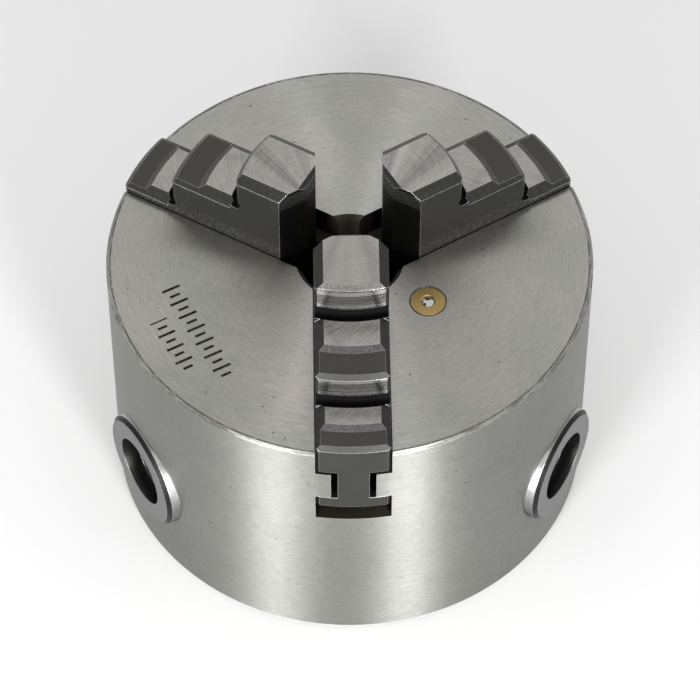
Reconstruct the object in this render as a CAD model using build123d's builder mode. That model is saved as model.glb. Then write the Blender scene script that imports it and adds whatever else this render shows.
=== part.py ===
from build123d import *
import math
import os

os.makedirs("parts", exist_ok=True)

# ---------------------------------------------------------------- overall
BODY_R = 40.0            # outside radius of the chuck body
BODY_H = 50.0            # rear face to front face
JAW_COUNT = 3
JAW_AZ = [-90.0, 30.0, 150.0]
PINION_AZ = [-30.0, 90.0, 210.0]
FRONT_CHAMFER = 0.45
REAR_CHAMFER = 0.45
SMALL_CHAMFER = 0.4
RUN_GAP = 0.05           # radial gap of a running fit
SLIDE_GAP = 0.15         # gap each side of a sliding jaw
OPEN_GAP = 0.3           # gap between parts that never touch
FACE_GAP = 0.1           # gap between faces that run past each other
CUT_OVER = 1.0           # how far a cutting tool stands past a face

# ---------------------------------------------------------------- bore and rear
BORE_R = 8.0
FRONT_RELIEF = 0.2       # bore relieved where the jaws close over it
FRONT_BORE_R = BORE_R + FRONT_RELIEF
BORE_CHAMFER = 0.8
REGISTER_R = 27.5
REGISTER_DEPTH = 3.5
MOUNT_PCD_R = 33.0
MOUNT_HOLE_R = 3.0
MOUNT_DEPTH = 12.0
COVER_T = 4.9
COVER_Z = REGISTER_DEPTH
COVER_TOP_Z = COVER_Z + COVER_T
HUB_WALL = 5.95
HUB_R = BORE_R + HUB_WALL
RING_GAP = 0.15
RING_WALL = 3.5
RING_IN_R = HUB_R + RING_GAP
RING_OUT_R = RING_IN_R + RING_WALL
POCKET_R = REGISTER_R - OPEN_GAP
COVER_R = POCKET_R - RUN_GAP

# ---------------------------------------------------------------- jaw slot
JAW_W = 12.0
SLOT_W = JAW_W + 2 * SLIDE_GAP
SLOT_DEPTH = 17.5        # these four are measured down from the front face
RIDGE_BOTTOM_DEPTH = 11.6
RIDGE_TOP_DEPTH = 5.2
FLANGE_LOW_DEPTH = 14.0
SLOT_FLOOR_Z = BODY_H - SLOT_DEPTH
RIDGE_BOTTOM_Z = BODY_H - RIDGE_BOTTOM_DEPTH
RIDGE_TOP_Z = BODY_H - RIDGE_TOP_DEPTH
RIDGE_GAP_W = 7.3
WEB_W = 5.1
FLANGE_LOW_Z = BODY_H - FLANGE_LOW_DEPTH
FLANGE_MID_Z = RIDGE_BOTTOM_Z - FACE_GAP
RIDGE_CLEARANCE = 0.6    # jaw neck above the slot ridges
FLANGE_HIGH_Z = RIDGE_TOP_Z + RIDGE_CLEARANCE

# ---------------------------------------------------------------- scroll
PITCH = 5.0
RIDGE_W = 2.2
TOOTH_T = 2.4
SCROLL_BORE_R = HUB_R + RUN_GAP
SCROLL_R = POCKET_R - OPEN_GAP
SCROLL_FRONT_Z = SLOT_FLOOR_Z
THREAD_TOP_Z = FLANGE_LOW_Z - SLIDE_GAP
POCKET_CEILING_Z = FLANGE_LOW_Z + FACE_GAP
TOOTH_BOTTOM_Z = SCROLL_FRONT_Z + SLIDE_GAP
TOOTH_FIRST_R = 12.0
RIDGE_BASE_R = TOOTH_FIRST_R - PITCH / 2 - PITCH * JAW_AZ[0] / 360.0
TOOTH_OUT_R = 13.4
TOOTH_MARGIN = 0.6       # last tooth inside the outer end of the jaw
TOOTH_IN_R = 29.0
LEAD_TILT = math.degrees(PITCH / (2 * math.pi * (SCROLL_BORE_R + SCROLL_R) / 2))

# ---------------------------------------------------------------- gears
MODULE = 1.5
PINION_TEETH = 10
CROWN_TEETH = 36
GEAR_R = MODULE * CROWN_TEETH / 2
RING_TO_GEAR = 1.4       # cover ring inside the gear teeth
GEAR_IN_R = RING_OUT_R + RING_TO_GEAR
PINION_DROP = 14.0       # pinion axis under the scroll face
HUB_RISE = 6.9           # rear end of the scroll hub over the pinion axis
PINION_Z = SLOT_FLOOR_Z - PINION_DROP
HUB_REAR_Z = PINION_Z + HUB_RISE
PRESSURE = math.radians(20.0)
PINION_PITCH_R = MODULE * PINION_TEETH / 2
CROWN_ADD = 0.58 * MODULE
PINION_ADD = 1.1 * MODULE
ROOT_GAP = 0.3           # tip of a tooth to the root it runs in
CROWN_DED = PINION_ADD + ROOT_GAP
PINION_DED = CROWN_ADD + ROOT_GAP
BACKLASH = 0.2
HUB_LIP = 0.2            # flat ring between the gear cone and the scroll hub
GAP_RUN_OUT = 0.5        # how far the tooth gap cutter passes the gear ring

# ---------------------------------------------------------------- pinion
PINION_SHANK_R = 10.0
PINION_FACE_R = BODY_R + 1.0
PINION_CHAMFER = 0.7
RECESS_R = 6.1
RECESS_DEPTH = 2.8
SOCKET_W = 8.0
SOCKET_DEPTH = 12.0
GROOVE_FROM = 32.0
GROOVE_TO = 35.2
GROOVE_DEPTH = 1.7
GROOVE_R = PINION_SHANK_R - GROOVE_DEPTH
TRUNNION_R = 3.5
BORE_WALL = 2.0          # between the bore and the blind bearings of the pinions
TRUNNION_BORE_IN = BORE_R + BORE_WALL
TRUNNION_IN = TRUNNION_BORE_IN + 0.4
TEETH_OUT = SCROLL_R + FACE_GAP     # outer end of the pinion teeth
SHANK_IN = TEETH_OUT + OPEN_GAP

# ---------------------------------------------------------------- screws, oiler
SET_R = 2.0
SET_DOG_R = 1.3
SET_AT = (GROOVE_FROM + GROOVE_TO) / 2
SET_REAR_Z = 1.0
SET_SHOULDER_GAP = 1.5   # screw shoulder behind the pinion
SET_SHOULDER_Z = PINION_Z - PINION_SHANK_R - SET_SHOULDER_GAP
SET_TIP_Z = PINION_Z - GROOVE_R - OPEN_GAP
HEX_R = 1.15
HEX_DEPTH = 2.2
COVER_HEX_DEPTH = 1.5
COVER_SCREW_INSET = 3.0  # cover screws outside the bore
COVER_SCREW_AT = BORE_R + COVER_SCREW_INSET
COVER_SCREW_R = 1.5
COVER_SCREW_HEAD_R = 2.6
COVER_SCREW_HEAD_H = 1.7
COVER_SCREW_SINK = 0.15   # screw head below the cover face
COVER_SCREW_TOP_Z = 16.0
TAP_RUN_OUT = 0.5        # tapped hole past the end of its screw
OILER_AZ = -36.4
OILER_AT = 15.65
OILER_R = 2.9
OILER_DEPTH = 8.0
OILER_HOLE_R = 1.1
OILER_CAVITY_R = 1.65
OILER_BALL_R = 1.5
OILER_WALL_BASE = 0.8
OILER_EDGE = 0.1         # chamfer round the oiler
OILER_HOLE_EDGE = 0.15   # chamfer round its hole
BALL_SINK = 0.25         # top of the ball below the front face
BALL_SEAT_GAP = 0.03
SPRING_WIRE_R = 0.16
SPRING_COIL_R = 1.2
SPRING_SEAT_GAP = 0.02
SPRING_TURNS = 5
OIL_WAY_R = 1.0
RING_SLOT_W = 2 * TRUNNION_R + 0.8
RING_TOP_Z = HUB_REAR_Z - FACE_GAP

# ---------------------------------------------------------------- jaw steps
JAW_TIP_R = 7.25
TIP_HALF = 1.6
TIP_RUN = (JAW_W / 2 - TIP_HALF) / math.tan(math.radians(60.0))
STEP_R = [18.7, 30.8, BODY_R]          # outer faces of the three steps, on the middle line
STEP_UP = [16.0, 9.1, 2.4]          # lands of the three steps above the front face
STEP_Z = [BODY_H + up for up in STEP_UP]
STEP_ARC = [20.0, 28.0, 34.0]          # plan radius of each step face
LAND_OUT = [17.9, 24.9, 35.4]          # outer edge of each land
FLAT_DROP = 0.65                       # unground flat below its land
SLOPE_RUN = 1.0
STEP_CHAMFER = 0.75
SIDE_CHAMFER_W = 1.55
SIDE_CHAMFER_H = 1.25
CORNER_CHAMFER = 0.5
UNDERCUT_R = 1.0
UNDERCUT_OFF = 0.35                    # centre of the relief groove out and up from its corner
TIP_CHAMFER = 0.8
CUTTER_H = 3.0                         # height of the cutters above a land


def at(radius, azimuth, z=0.0):
    """Point at a radius and azimuth round the chuck axis."""
    a = math.radians(azimuth)
    return (radius * math.cos(a), radius * math.sin(a), z)


def spoke(azimuth, z=0.0):
    """Plane whose x runs across, y runs up and normal runs outward at an azimuth."""
    a = math.radians(azimuth)
    return Plane(
        origin=(0, 0, z),
        x_dir=(-math.sin(a), math.cos(a), 0),
        z_dir=(math.cos(a), math.sin(a), 0),
    )


# ================================================================ jaw slot cutter
with BuildPart() as slot_cut:
    with BuildSketch(Plane.YZ) as slot_profile:
        with BuildLine():
            Polyline(
                (-SLOT_W / 2, SLOT_FLOOR_Z),
                (SLOT_W / 2, SLOT_FLOOR_Z),
                (SLOT_W / 2, RIDGE_BOTTOM_Z),
                (RIDGE_GAP_W / 2, RIDGE_BOTTOM_Z),
                (RIDGE_GAP_W / 2, RIDGE_TOP_Z),
                (SLOT_W / 2, RIDGE_TOP_Z),
                (SLOT_W / 2, BODY_H + CUT_OVER),
                (-SLOT_W / 2, BODY_H + CUT_OVER),
                (-SLOT_W / 2, RIDGE_TOP_Z),
                (-RIDGE_GAP_W / 2, RIDGE_TOP_Z),
                (-RIDGE_GAP_W / 2, RIDGE_BOTTOM_Z),
                (-SLOT_W / 2, RIDGE_BOTTOM_Z),
                close=True,
            )
        make_face()
    extrude(amount=BODY_R + CUT_OVER)

# ================================================================ body
with BuildPart() as body:
    with BuildSketch(Plane.XZ) as body_section:
        with BuildLine():
            Polyline(
                (BORE_R, COVER_TOP_Z),
                (HUB_R, COVER_TOP_Z),
                (HUB_R, POCKET_CEILING_Z),
                (POCKET_R, POCKET_CEILING_Z),
                (POCKET_R, REGISTER_DEPTH),
                (REGISTER_R, REGISTER_DEPTH),
                (REGISTER_R, SMALL_CHAMFER),
                (REGISTER_R + SMALL_CHAMFER, 0),
                (BODY_R - REAR_CHAMFER, 0),
                (BODY_R, REAR_CHAMFER),
                (BODY_R, BODY_H - FRONT_CHAMFER),
                (BODY_R - FRONT_CHAMFER, BODY_H),
                (FRONT_BORE_R + BORE_CHAMFER, BODY_H),
                (FRONT_BORE_R, BODY_H - BORE_CHAMFER),
                (FRONT_BORE_R, SLOT_FLOOR_Z),
                (BORE_R, SLOT_FLOOR_Z),
                close=True,
            )
        make_face()
    revolve(axis=Axis.Z)
    for azimuth in JAW_AZ:
        add(slot_cut.part, rotation=(0, 0, azimuth), mode=Mode.SUBTRACT)
    # pinion bores and the blind bearings of their inner ends
    for azimuth in PINION_AZ:
        with BuildSketch(spoke(azimuth, PINION_Z).offset(GEAR_IN_R)):
            Circle(PINION_SHANK_R + RUN_GAP)
        extrude(amount=BODY_R, mode=Mode.SUBTRACT)
        with BuildSketch(spoke(azimuth, PINION_Z).offset(TRUNNION_BORE_IN)):
            Circle(TRUNNION_R + RUN_GAP)
        extrude(amount=GEAR_IN_R - TRUNNION_BORE_IN, mode=Mode.SUBTRACT)
        with BuildSketch(Plane.XY):
            with Locations(at(SET_AT, azimuth)):
                Circle(SET_R + RUN_GAP)
        extrude(amount=PINION_Z - PINION_SHANK_R + CUT_OVER, mode=Mode.SUBTRACT)
    # mounting holes behind the jaws
    for azimuth in JAW_AZ:
        with BuildSketch(Plane.XY):
            with Locations(at(MOUNT_PCD_R, azimuth)):
                Circle(MOUNT_HOLE_R)
        extrude(amount=MOUNT_DEPTH, mode=Mode.SUBTRACT)
        with BuildSketch(Plane.XY.offset(COVER_TOP_Z)):
            with Locations(at(COVER_SCREW_AT, azimuth)):
                Circle(COVER_SCREW_R + RUN_GAP)
        extrude(amount=COVER_SCREW_TOP_Z - COVER_TOP_Z + TAP_RUN_OUT, mode=Mode.SUBTRACT)
    # oiler seat and its way down to the scroll
    with BuildSketch(Plane.XY.offset(BODY_H - OILER_DEPTH)):
        with Locations(at(OILER_AT, OILER_AZ)):
            Circle(OILER_R)
    extrude(amount=OILER_DEPTH + CUT_OVER, mode=Mode.SUBTRACT)
    with BuildSketch(Plane.XY.offset(POCKET_CEILING_Z - CUT_OVER)):
        with Locations(at(OILER_AT, OILER_AZ)):
            Circle(OIL_WAY_R)
    extrude(amount=BODY_H - OILER_DEPTH - POCKET_CEILING_Z + CUT_OVER, mode=Mode.SUBTRACT)

# ================================================================ back cover
with BuildPart() as back_cover:
    with BuildSketch(Plane.XY.offset(COVER_Z)):
        Circle(COVER_R)
        Circle(BORE_R, mode=Mode.SUBTRACT)
    extrude(amount=COVER_T)
    outer_edges = back_cover.edges().filter_by(GeomType.CIRCLE).group_by(Axis.Z)[0]
    chamfer(outer_edges, length=SMALL_CHAMFER)
    with BuildSketch(Plane.XY.offset(COVER_TOP_Z)):
        Circle(RING_OUT_R)
        Circle(RING_IN_R, mode=Mode.SUBTRACT)
    extrude(amount=RING_TOP_Z - COVER_TOP_Z)
    for azimuth in PINION_AZ:
        with BuildSketch(spoke(azimuth, PINION_Z)):
            Circle(RING_SLOT_W / 2)
            with Locations((0, BODY_H / 2)):
                Rectangle(RING_SLOT_W, BODY_H)
        extrude(amount=BODY_R, mode=Mode.SUBTRACT)
    for azimuth in JAW_AZ:
        with BuildSketch(Plane.XY.offset(COVER_Z)):
            with Locations(at(COVER_SCREW_AT, azimuth)):
                Circle(COVER_SCREW_R + RUN_GAP)
        extrude(amount=COVER_T, mode=Mode.SUBTRACT)
        with BuildSketch(Plane.XY.offset(COVER_Z)):
            with Locations(at(COVER_SCREW_AT, azimuth)):
                Circle(COVER_SCREW_HEAD_R + RUN_GAP)
        with BuildSketch(Plane.XY.offset(COVER_Z + COVER_SCREW_HEAD_H)):
            with Locations(at(COVER_SCREW_AT, azimuth)):
                Circle(COVER_SCREW_R + RUN_GAP)
        loft(mode=Mode.SUBTRACT)

# ================================================================ scroll
SPIRAL_ARCS = 8          # arcs in one turn of the spiral
SPIRAL_FROM = SCROLL_BORE_R - RIDGE_W
SPIRAL_TO = SCROLL_R + RIDGE_W
ARC_FROM = math.floor(SPIRAL_ARCS * (SPIRAL_FROM - RIDGE_BASE_R) / PITCH)
ARC_TO = math.ceil(SPIRAL_ARCS * (SPIRAL_TO - RIDGE_BASE_R) / PITCH)


def spiral_point(turn, offset):
    """Point of the scroll ridge after some turns, moved out by an offset."""
    return at(RIDGE_BASE_R + PITCH * turn + offset, 360.0 * turn)[:2]


with BuildPart() as thread:
    with BuildSketch(Plane.XY.offset(SCROLL_FRONT_Z)) as thread_plan:
        with BuildLine():
            for side in (-RIDGE_W / 2, RIDGE_W / 2):
                for i in range(ARC_FROM, ARC_TO):
                    ThreePointArc(
                        spiral_point(i / SPIRAL_ARCS, side),
                        spiral_point((i + 0.5) / SPIRAL_ARCS, side),
                        spiral_point((i + 1) / SPIRAL_ARCS, side),
                    )
            for end in (ARC_FROM / SPIRAL_ARCS, ARC_TO / SPIRAL_ARCS):
                Line(spiral_point(end, -RIDGE_W / 2), spiral_point(end, RIDGE_W / 2))
        make_face()
    extrude(amount=THREAD_TOP_Z - SCROLL_FRONT_Z, dir=(0, 0, 1))
    with BuildSketch(Plane.XY.offset(SCROLL_FRONT_Z)):
        Circle(BODY_R)
        Circle(SCROLL_R, mode=Mode.SUBTRACT)
        Circle(SCROLL_BORE_R)
    extrude(amount=THREAD_TOP_Z - SCROLL_FRONT_Z, mode=Mode.SUBTRACT)

FLANK = math.tan(PRESSURE)


def gap_width(height):
    """Half width of a crown tooth gap at a height over the pitch line."""
    return math.pi * MODULE / 4 + BACKLASH / 4 - height * FLANK


def gear_scale(radius):
    """Size of the gear section at a radius, both gears meeting at one apex."""
    return radius / GEAR_R


GAP_TIP = -CROWN_ADD - CUT_OVER
with BuildPart() as crown_gap:
    for radius in (GEAR_IN_R - GAP_RUN_OUT, SCROLL_R + GAP_RUN_OUT):
        k = gear_scale(radius)
        with BuildSketch(Plane.YZ.offset(radius)):
            with BuildLine():
                Polyline(
                    (-k * gap_width(GAP_TIP), PINION_Z + k * (PINION_PITCH_R + GAP_TIP)),
                    (k * gap_width(GAP_TIP), PINION_Z + k * (PINION_PITCH_R + GAP_TIP)),
                    (k * gap_width(CROWN_DED), PINION_Z + k * (PINION_PITCH_R + CROWN_DED)),
                    (-k * gap_width(CROWN_DED), PINION_Z + k * (PINION_PITCH_R + CROWN_DED)),
                    close=True,
                )
            make_face()
    loft(ruled=True)

TIP_HEIGHT = PINION_PITCH_R - CROWN_ADD
with BuildPart() as scroll_plate:
    with BuildSketch(Plane.XZ):
        with BuildLine():
            Polyline(
                (SCROLL_BORE_R, HUB_REAR_Z),
                (GEAR_IN_R - HUB_LIP, HUB_REAR_Z),
                (GEAR_IN_R, PINION_Z + gear_scale(GEAR_IN_R) * TIP_HEIGHT),
                (SCROLL_R, PINION_Z + gear_scale(SCROLL_R) * TIP_HEIGHT),
                (SCROLL_R, SCROLL_FRONT_Z),
                (SCROLL_BORE_R, SCROLL_FRONT_Z),
                close=True,
            )
        make_face()
    revolve(axis=Axis.Z)
    with PolarLocations(0, CROWN_TEETH):
        add(crown_gap.part, mode=Mode.SUBTRACT)
    add(thread.part)

# ================================================================ pinions
BASE_R = PINION_PITCH_R * math.cos(PRESSURE)
PINION_TIP_R = PINION_PITCH_R + PINION_ADD
PINION_ROOT_R = PINION_PITCH_R - PINION_DED
FLANK_STEPS = 5


def involute(angle):
    """Involute function."""
    return math.tan(angle) - angle


def half_tooth(radius):
    """Half angle of a pinion tooth at a radius."""
    middle = (math.pi * MODULE / 2 - BACKLASH / 2) / (2 * PINION_PITCH_R)
    base = middle + involute(PRESSURE)
    if radius <= BASE_R:
        return base
    return base - involute(math.acos(BASE_R / radius))


def pinion_outline(k):
    """Closed outline of the pinion teeth, scaled toward the apex."""
    points = []
    radii = [PINION_ROOT_R]
    for i in range(FLANK_STEPS):
        radii.append(BASE_R + (PINION_TIP_R - BASE_R) * i / (FLANK_STEPS - 1))
    for tooth in range(PINION_TEETH):
        middle = math.pi / 2 + 2 * math.pi * tooth / PINION_TEETH
        for radius in radii:
            a = middle - half_tooth(radius)
            points.append((k * radius * math.cos(a), k * radius * math.sin(a)))
        for radius in reversed(radii):
            a = middle + half_tooth(radius)
            points.append((k * radius * math.cos(a), k * radius * math.sin(a)))
    return points


pinions = []
for index, azimuth in enumerate(PINION_AZ):
    line = spoke(azimuth, PINION_Z)
    with BuildPart() as pinion:
        for radius in (GEAR_IN_R, TEETH_OUT):
            with BuildSketch(line.offset(radius)):
                with BuildLine():
                    Polyline(*pinion_outline(gear_scale(radius)), close=True)
                make_face()
        loft(ruled=True)
        with BuildSketch(line.offset(TEETH_OUT)):
            Circle(PINION_TIP_R)
        extrude(amount=SHANK_IN - TEETH_OUT)
        with BuildSketch(line.offset(SHANK_IN)):
            Circle(PINION_SHANK_R)
        extrude(amount=PINION_FACE_R - SHANK_IN)
        chamfer(pinion.faces().sort_by(Axis(line.origin, line.z_dir))[-1].edges(), PINION_CHAMFER)
        with BuildSketch(line.offset(TRUNNION_IN)):
            Circle(TRUNNION_R)
        extrude(amount=GEAR_IN_R - TRUNNION_IN)
        with BuildSketch(line.offset(GROOVE_FROM)):
            Circle(PINION_SHANK_R + CUT_OVER)
            Circle(GROOVE_R, mode=Mode.SUBTRACT)
        extrude(amount=GROOVE_TO - GROOVE_FROM, mode=Mode.SUBTRACT)
        with BuildSketch(line.offset(PINION_FACE_R - RECESS_DEPTH)):
            Circle(RECESS_R)
        extrude(amount=RECESS_DEPTH, mode=Mode.SUBTRACT)
        with BuildSketch(line.offset(PINION_FACE_R - SOCKET_DEPTH)):
            Rectangle(SOCKET_W, SOCKET_W)
        extrude(amount=SOCKET_DEPTH, mode=Mode.SUBTRACT)
    pinion.part.label = f"pinion_{index + 1}"
    pinions.append(pinion.part)

# ================================================================ pinion screws
pinion_screws = []
for index, azimuth in enumerate(PINION_AZ):
    with BuildPart() as screw:
        with BuildSketch(Plane.XY.offset(SET_REAR_Z)):
            with Locations(at(SET_AT, azimuth)):
                Circle(SET_R)
        extrude(amount=SET_SHOULDER_Z - SET_REAR_Z)
        chamfer(screw.edges().filter_by(GeomType.CIRCLE), length=SMALL_CHAMFER)
        with BuildSketch(Plane.XY.offset(SET_SHOULDER_Z)):
            with Locations(at(SET_AT, azimuth)):
                Circle(SET_DOG_R)
        extrude(amount=SET_TIP_Z - SET_SHOULDER_Z)
        with BuildSketch(Plane.XY.offset(SET_REAR_Z)):
            with Locations(at(SET_AT, azimuth)):
                RegularPolygon(HEX_R, 6)
        extrude(amount=HEX_DEPTH, mode=Mode.SUBTRACT)
    screw.part.label = f"pinion_screw_{index + 1}"
    pinion_screws.append(screw.part)

# ================================================================ cover screws
cover_screws = []
for index, azimuth in enumerate(JAW_AZ):
    with BuildPart() as screw:
        with BuildSketch(Plane.XY.offset(COVER_Z + COVER_SCREW_SINK)):
            with Locations(at(COVER_SCREW_AT, azimuth)):
                Circle(COVER_SCREW_HEAD_R - COVER_SCREW_SINK)
        with BuildSketch(Plane.XY.offset(COVER_Z + COVER_SCREW_HEAD_H)):
            with Locations(at(COVER_SCREW_AT, azimuth)):
                Circle(COVER_SCREW_R)
        loft()
        with BuildSketch(Plane.XY.offset(COVER_Z + COVER_SCREW_HEAD_H)):
            with Locations(at(COVER_SCREW_AT, azimuth)):
                Circle(COVER_SCREW_R)
        extrude(amount=COVER_SCREW_TOP_Z - COVER_Z - COVER_SCREW_HEAD_H)
        with BuildSketch(Plane.XY.offset(COVER_Z)):
            with Locations(at(COVER_SCREW_AT, azimuth)):
                RegularPolygon(HEX_R, 6)
        extrude(amount=COVER_HEX_DEPTH, mode=Mode.SUBTRACT)
    screw.part.label = f"cover_screw_{index + 1}"
    cover_screws.append(screw.part)

# ================================================================ oiler
OILER_Z = BODY_H - OILER_DEPTH
BALL_Z = BODY_H - BALL_SINK - math.sqrt(OILER_BALL_R**2 - OILER_HOLE_R**2)
CONE_R = (OILER_BALL_R + BALL_SEAT_GAP) * math.sin(math.radians(45))
CONE_Z = BALL_Z + CONE_R
with BuildPart() as oiler_body:
    with BuildSketch(Plane.XZ):
        with BuildLine():
            Polyline(
                (OIL_WAY_R, OILER_Z),
                (OILER_R, OILER_Z),
                (OILER_R, BODY_H - OILER_EDGE),
                (OILER_R - OILER_EDGE, BODY_H),
                (OILER_HOLE_R + OILER_HOLE_EDGE, BODY_H),
                (OILER_HOLE_R, BODY_H - OILER_HOLE_EDGE),
                (OILER_HOLE_R, CONE_Z - (OILER_HOLE_R - CONE_R)),
                (OILER_CAVITY_R, CONE_Z - (OILER_CAVITY_R - CONE_R)),
                (OILER_CAVITY_R, OILER_Z + OILER_WALL_BASE),
                (OIL_WAY_R, OILER_Z + OILER_WALL_BASE),
                close=True,
            )
        make_face()
    revolve(axis=Axis.Z)
oiler_place = Location(at(OILER_AT, OILER_AZ))
oiler_shell = oiler_place * oiler_body.part

with BuildPart() as oiler_ball:
    with BuildSketch(Plane.XZ):
        with Locations((0, BALL_Z)):
            Circle(OILER_BALL_R)
        with Locations((-OILER_R, BALL_Z)):
            Rectangle(2 * OILER_R, 2 * OILER_R, mode=Mode.SUBTRACT)
    revolve(axis=Axis.Z)
oiler_sphere = oiler_place * oiler_ball.part

SPRING_LOW = OILER_Z + OILER_WALL_BASE + SPRING_WIRE_R + SPRING_SEAT_GAP
SPRING_REACH = OILER_BALL_R + SPRING_WIRE_R + BALL_SEAT_GAP
SPRING_HIGH = BALL_Z - math.sqrt(SPRING_REACH**2 - SPRING_COIL_R**2)
SPRING_LEAD = (SPRING_HIGH - SPRING_LOW) / SPRING_TURNS
with BuildPart() as oiler_spring:
    with BuildLine() as coil:
        Helix(SPRING_LEAD, SPRING_HIGH - SPRING_LOW, SPRING_COIL_R, center=(0, 0, SPRING_LOW))
    with BuildSketch(Plane(origin=coil.line @ 0, z_dir=coil.line % 0)):
        Circle(SPRING_WIRE_R)
    sweep()
oiler_coil = oiler_place * oiler_spring.part

# ================================================================ jaws

def jaw_plan(outer, arc, corner):
    """Closed plan of a jaw from its pointed tip to a curved outer face."""
    half = JAW_W / 2
    shoulder = half - corner
    edge = outer - arc + math.sqrt(arc**2 - shoulder**2)
    with BuildLine() as outline:
        Polyline(
            (edge, shoulder),
            (edge - corner, half),
            (JAW_TIP_R + TIP_RUN, half),
            (JAW_TIP_R, TIP_HALF),
            (JAW_TIP_R, -TIP_HALF),
            (JAW_TIP_R + TIP_RUN, -half),
            (edge - corner, -half),
            (edge, -shoulder),
        )
        ThreePointArc((edge, -shoulder), (outer, 0), (edge, shoulder))
    return outline.line


def step_ring(level, points):
    """Ring turned about the centre of a step face from corners given as radius and height."""
    with BuildPart() as ring:
        with BuildSketch(Plane.XZ):
            with BuildLine():
                Polyline(*points, close=True)
            make_face()
        revolve(axis=Axis((STEP_R[level] - STEP_ARC[level], 0, 0), (0, 0, 1)))
    return ring.part


def edge_cutter(level):
    """Ring that chamfers the top edge of a step face."""
    drop = 0.0 if level == 0 else FLAT_DROP
    z = STEP_Z[level] - drop
    far = STEP_R[level] + CUT_OVER
    return step_ring(level, [
        (STEP_R[level] - STEP_CHAMFER, z),
        (far, z - STEP_CHAMFER - CUT_OVER),
        (far, z + CUT_OVER),
        (STEP_R[level] - STEP_CHAMFER, z + CUT_OVER),
    ])


def flat_cutter(level):
    """Ring that drops the flat outside a land, with the slope down to it."""
    z = STEP_Z[level]
    far = STEP_R[level] + CUT_OVER
    return step_ring(level, [
        (LAND_OUT[level], z),
        (LAND_OUT[level] + SLOPE_RUN, z - FLAT_DROP),
        (far, z - FLAT_DROP),
        (far, z + CUT_OVER),
        (LAND_OUT[level], z + CUT_OVER),
    ])


def groove_cutter(level):
    """Round relief groove at the foot of a step face."""
    with BuildPart() as groove:
        with BuildSketch(Plane.XZ):
            with Locations((STEP_R[level] + UNDERCUT_OFF, STEP_Z[level + 1] + UNDERCUT_OFF)):
                Circle(UNDERCUT_R)
        revolve(axis=Axis((STEP_R[level] - STEP_ARC[level], 0, 0), (0, 0, 1)))
    return groove.part


def side_cutter(level):
    """Pair of wedges that chamfer the long sides of one land."""
    start = 0.0 if level == 0 else STEP_R[level - 1] + UNDERCUT_OFF
    z = STEP_Z[level]
    foot = SIDE_CHAMFER_H * (1 + CUT_OVER / SIDE_CHAMFER_W)
    with BuildPart() as wedges:
        with BuildSketch(Plane.YZ.offset(start)):
            with BuildLine():
                Polyline(
                    (JAW_W / 2 - SIDE_CHAMFER_W, z),
                    (JAW_W / 2 + CUT_OVER, z - foot),
                    (JAW_W / 2 + CUT_OVER, z + CUTTER_H),
                    (JAW_W / 2 - SIDE_CHAMFER_W, z + CUTTER_H),
                    close=True,
                )
            make_face()
        extrude(amount=STEP_R[level] + CUT_OVER - start)
        mirror(about=Plane.XZ)
    return wedges.part


edge_cuts = [edge_cutter(level) for level in (0, 1, 2)]
side_cuts = [side_cutter(level) for level in (0, 1, 2)]
flat_cuts = [flat_cutter(level) for level in (1, 2)]
groove_cuts = [groove_cutter(level) for level in (0, 1)]

with BuildPart() as jaw_form:
    with BuildSketch(Plane.XY.offset(FLANGE_LOW_Z)):
        add(jaw_plan(STEP_R[2], STEP_ARC[2], CORNER_CHAMFER))
        make_face()
    extrude(amount=STEP_Z[2] - FLANGE_LOW_Z)
    for level in (1, 0):
        with BuildSketch(Plane.XY.offset(STEP_Z[level + 1] - CUT_OVER)):
            add(jaw_plan(STEP_R[level], STEP_ARC[level], CORNER_CHAMFER))
            make_face()
        extrude(amount=STEP_Z[level] - STEP_Z[level + 1] + CUT_OVER)
    # waist between the two guide flanges
    for side in (-1, 1):
        with BuildSketch(Plane.YZ):
            with Locations((side * (WEB_W / 2 + JAW_W / 2), (FLANGE_MID_Z + FLANGE_HIGH_Z) / 2)):
                Rectangle(JAW_W, FLANGE_HIGH_Z - FLANGE_MID_Z)
        extrude(amount=BODY_R + CUT_OVER, mode=Mode.SUBTRACT)
    add(flat_cuts + edge_cuts + groove_cuts + side_cuts, mode=Mode.SUBTRACT)
    # chamfer across the tip
    with BuildSketch(Plane.XZ):
        with BuildLine():
            Polyline(
                (JAW_TIP_R, STEP_Z[0] - TIP_CHAMFER),
                (JAW_TIP_R + TIP_CHAMFER, STEP_Z[0]),
                (JAW_TIP_R + TIP_CHAMFER, STEP_Z[0] + CUT_OVER),
                (JAW_TIP_R - CUT_OVER, STEP_Z[0] + CUT_OVER),
                (JAW_TIP_R - CUT_OVER, STEP_Z[0] - TIP_CHAMFER - CUT_OVER),
                close=True,
            )
        make_face()
    extrude(amount=JAW_W, both=True, mode=Mode.SUBTRACT)


def tooth_plan(radius):
    """Crescent tooth that runs in the scroll groove at any radius, turned to the lead."""
    half = JAW_W / 2
    out = radius + TOOTH_T / 2
    inn = radius - TOOTH_T / 2
    out_edge = out - TOOTH_OUT_R + math.sqrt(TOOTH_OUT_R**2 - half**2)
    in_edge = inn - TOOTH_IN_R + math.sqrt(TOOTH_IN_R**2 - half**2)

    def lead(x, y):
        """Corner of the straight tooth after the turn about its own middle."""
        return Vector(radius, 0) + Vector(x - radius, y).rotate(Axis.Z, -LEAD_TILT)

    with BuildLine() as outline:
        ThreePointArc(lead(out_edge, -half), lead(out, 0), lead(out_edge, half))
        Line(lead(out_edge, half), lead(in_edge, half))
        ThreePointArc(lead(in_edge, half), lead(inn, 0), lead(in_edge, -half))
        Line(lead(in_edge, -half), lead(out_edge, -half))
    return outline.line


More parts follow.
